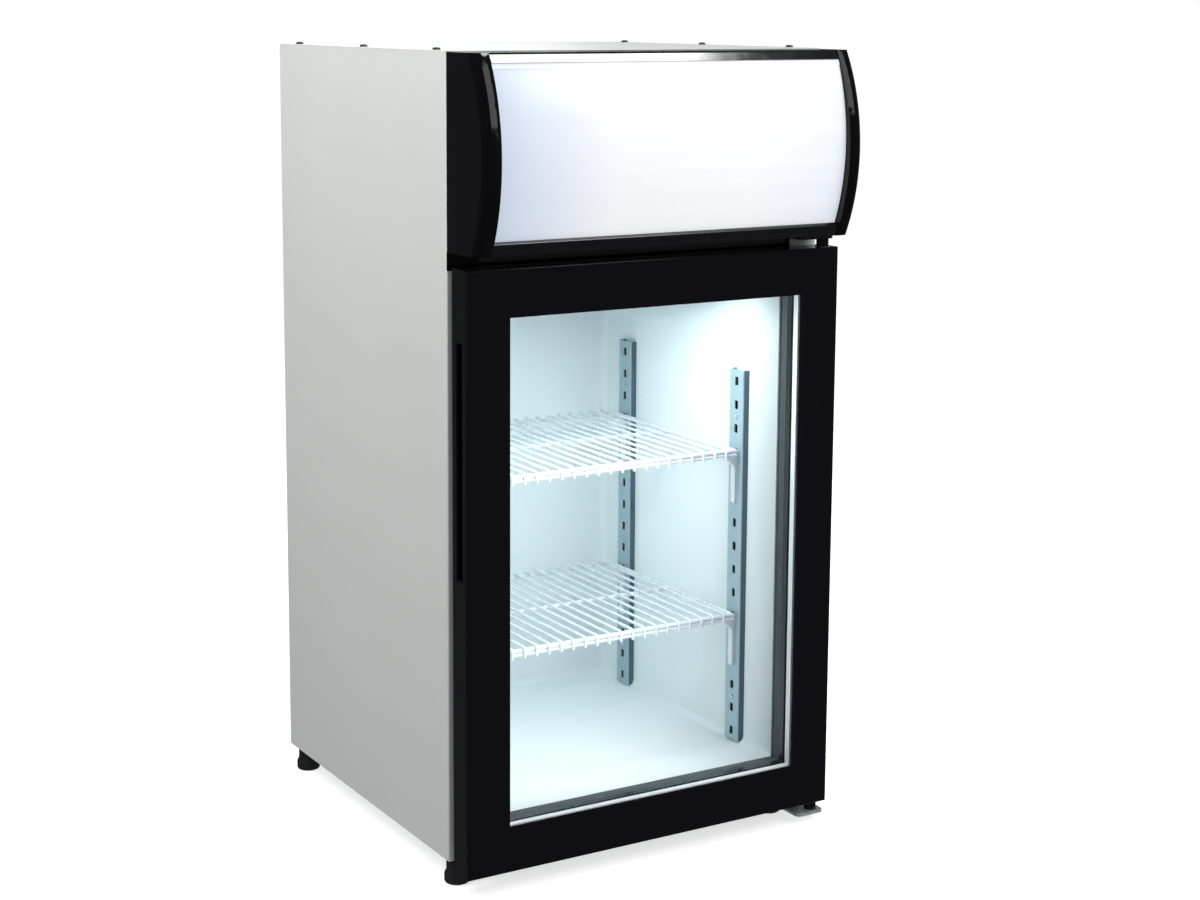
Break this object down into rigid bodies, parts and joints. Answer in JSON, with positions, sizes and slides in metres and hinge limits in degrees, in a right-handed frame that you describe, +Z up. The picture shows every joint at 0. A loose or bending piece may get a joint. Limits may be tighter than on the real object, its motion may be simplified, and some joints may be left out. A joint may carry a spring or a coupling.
{
  "type": "glass door merchandiser",
  "caption": "Countertop refrigerated glass door merchandiser with a lit sign canopy, wire shelves on slotted pilasters, a right-hinged door and round feet.",
  "frame": {"origin": "on the worktop, under the middle of the bounding box", "axes": "+Z up, -Y out of the door, +X to the hinge side"},
  "size_m": [0.422, 0.468, 0.8014],
  "materials": {
    "cabinet_white": "smooth semi-gloss powder coat",
    "rail_black": "satin black paint",
    "galvanised": "galvanised",
    "liner_white": "smooth",
    "foam": "foamed insulation",
    "foot_black": "moulded",
    "clip_white": "moulded",
    "wire_white": "plastic coated wire",
    "door_black": "satin",
    "glass": "clear",
    "spacer": "mill finish",
    "liner_grey": "moulded",
    "gasket_grey": "soft",
    "bush_plastic": "moulded",
    "zinc": "zinc plated",
    "screw_dark": "blackened",
    "cap_black": "high gloss",
    "sign_white": "translucent sheet",
    "lamp": "diffuser",
    "machine_black": "black enamel",
    "fin_aluminium": "mill finish",
    "fan_plastic": "moulded",
    "copper": "drawn copper",
    "knob_black": "moulded",
    "switch_black": "moulded"
  },
  "bodies": {
    "cabinet": {"side_panel_left": "cabinet_white", "side_panel_right": "cabinet_white", "top_panel": "cabinet_white", "light_tray": "cabinet_white", "header_rail": "rail_black", "sill_rail": "rail_black", "upper_hinge_bracket": "rail_black", "canopy_top_rail": "rail_black", "canopy_bottom_rail": "rail_black", "back_panel": "galvanised", "rear_grille": "galvanised", "base_pan": "galvanised", "machine_deck": "galvanised", "pilasters_left": "galvanised", "pilasters_right": "galvanised", "fan_shroud": "galvanised", "inner_liner": "liner_white", "evaporator_cover": "liner_white", "insulation_foam": "foam", "feet": "foot_black", "compressor_grommets": "foot_black", "shelf_clips": "clip_white", "cold_fan_guard": "wire_white", "hinge_collars": "door_black", "lamp_holders": "bush_plastic", "thermostat": "bush_plastic", "lower_hinge_bracket": "zinc", "hinge_pins": "zinc", "foot_screws": "zinc", "pilaster_screws": "zinc", "canopy_screws": "zinc", "pan_screws": "screw_dark", "canopy_cap_left": "cap_black", "canopy_cap_right": "cap_black", "sign_panel": "sign_white", "sign_lamp": "lamp", "compressor": "machine_black", "condenser_fan_motor": "machine_black", "evaporator_fan_motor": "machine_black", "condenser_coil": "fin_aluminium", "evaporator_coil": "fin_aluminium", "refrigerant_lines": "copper", "filter_drier": "copper", "cord_gland": "knob_black", "switch_bezel": "switch_black"},
    "door": {"door_frame": "door_black", "front_pane": "glass", "glass_spacer": "spacer", "rear_pane": "glass", "inner_frame": "door_black", "door_liner": "liner_grey", "door_gasket": "gasket_grey", "door_grip": "door_black", "door_bushes": "bush_plastic"},
    "upper_shelf": {"upper_shelf": "wire_white"},
    "lower_shelf": {"lower_shelf": "wire_white"},
    "condenser_fan": {"condenser_fan": "fan_plastic"},
    "evaporator_fan": {"evaporator_fan": "fan_plastic"},
    "thermostat_knob": {"thermostat_knob": "knob_black"},
    "light_switch": {"light_switch": "switch_black"}
  },
  "joints": [
    {"name": "door_hinge", "type": "hinge", "parent": "cabinet", "child": "door", "pos_m": [0.199, -0.186, 0.311], "axis": [0, 0, 1], "range_deg": [0, 110]},
    {"name": "upper_shelf_lift", "type": "slide", "parent": "cabinet", "child": "upper_shelf", "axis": [0, 0, 1], "range_m": [0, 0.012]},
    {"name": "lower_shelf_lift", "type": "slide", "parent": "cabinet", "child": "lower_shelf", "axis": [0, 0, 1], "range_m": [0, 0.012]},
    {"name": "condenser_fan_spin", "type": "hinge", "parent": "cabinet", "child": "condenser_fan", "pos_m": [0.101, 0.152, 0.687], "axis": [0, 1, 0], "continuous": true},
    {"name": "evaporator_fan_spin", "type": "hinge", "parent": "cabinet", "child": "evaporator_fan", "pos_m": [0.098, 0.131, 0.528], "axis": [0, 0, 1], "continuous": true},
    {"name": "thermostat_turn", "type": "hinge", "parent": "cabinet", "child": "thermostat_knob", "pos_m": [0.12, -0.073, 0.554], "axis": [0, 1, 0], "range_deg": [0, 300]},
    {"name": "light_switch_rock", "type": "hinge", "parent": "cabinet", "child": "light_switch", "pos_m": [-0.15, 0.223, 0.647], "axis": [-1, 0, 0], "range_deg": [0, 14]}
  ]
}
